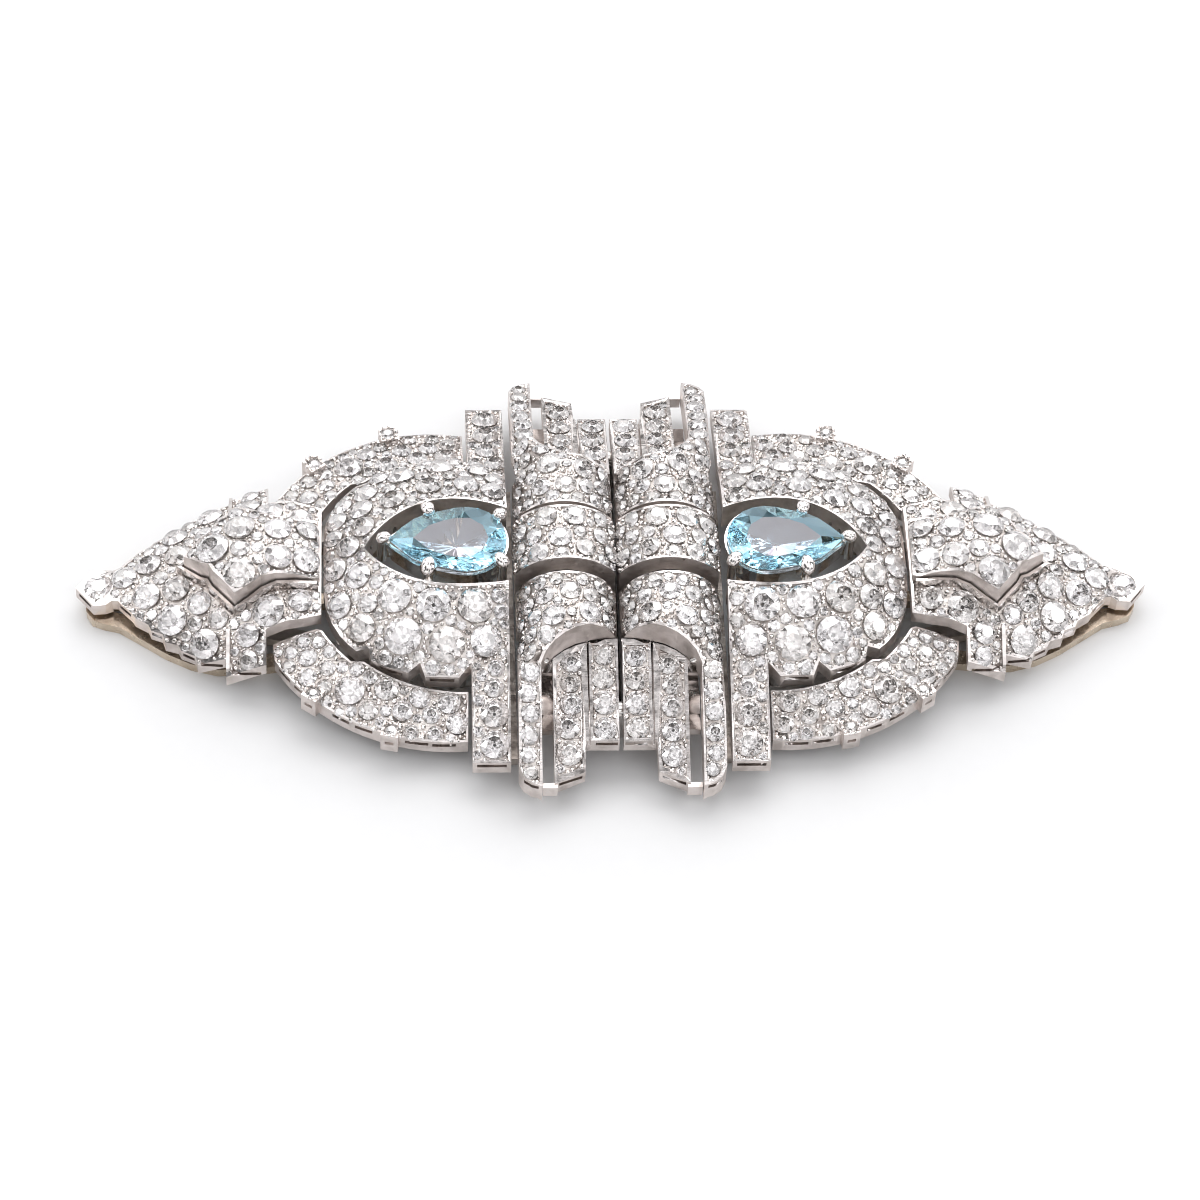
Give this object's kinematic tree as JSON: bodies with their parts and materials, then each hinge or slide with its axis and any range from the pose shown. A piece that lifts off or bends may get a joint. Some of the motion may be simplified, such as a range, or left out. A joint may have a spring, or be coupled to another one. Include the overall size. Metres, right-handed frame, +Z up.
{
  "type": "pair of dress clips worn joined as one brooch",
  "caption": "Pair of pave set dress clips with pear cut aquamarines, side by side on a brooch fitting, each with a hinged spring lever on its back.",
  "frame": {"origin": "on the table, under the middle of the gap between the two clips", "axes": "X runs along the brooch from the left clip to the right one, Y across it, Z up out of its face"},
  "size_m": [0.0746, 0.0352, 0.0084],
  "materials": {
    "pave_metal": "white precious metal, pave set",
    "polished_metal": "white precious metal, polished",
    "back_metal": "white precious metal, satin",
    "aquamarine": "clear pale blue stone, faceted",
    "gold": "pale gold, polished"
  },
  "bodies": {
    "clips": {"right_panel": "pave_metal", "right_band_far": "pave_metal", "right_band_near": "pave_metal", "right_tip_plate": "pave_metal", "right_shield": "pave_metal", "right_belt": "pave_metal", "right_barrel_far": "pave_metal", "right_barrel_near": "pave_metal", "right_barrel_core": "back_metal", "right_arms_far": "pave_metal", "right_arms_near": "pave_metal", "right_aquamarine": "aquamarine", "right_collet": "polished_metal", "right_back_rail_far": "back_metal", "right_back_rail_near": "back_metal", "right_hinge_pin": "back_metal", "left_panel": "pave_metal", "left_band_far": "pave_metal", "left_band_near": "pave_metal", "left_tip_plate": "pave_metal", "left_shield": "pave_metal", "left_belt": "pave_metal", "left_barrel_far": "pave_metal", "left_barrel_near": "pave_metal", "left_barrel_core": "back_metal", "left_arms_far": "pave_metal", "left_arms_near": "pave_metal", "left_aquamarine": "aquamarine", "left_collet": "polished_metal", "left_back_rail_far": "back_metal", "left_back_rail_near": "back_metal", "left_hinge_pin": "back_metal", "brooch_fitting": "back_metal"},
    "right_lever": {"right_clip_lever": "gold"},
    "left_lever": {"left_clip_lever": "gold"}
  },
  "joints": [
    {"name": "right_lever_hinge", "type": "hinge", "parent": "clips", "child": "right_lever", "pos_m": [0.0092, 0, 0.00095], "axis": [0, 1, 0], "range_deg": [0, 55], "stiffness_Nm_per_rad": 0.004, "springref_deg": -17.19},
    {"name": "left_lever_hinge", "type": "hinge", "parent": "clips", "child": "left_lever", "pos_m": [-0.0092, 0, 0.00095], "axis": [0, -1, 0], "range_deg": [0, 55], "stiffness_Nm_per_rad": 0.004, "springref_deg": -17.19}
  ]
}
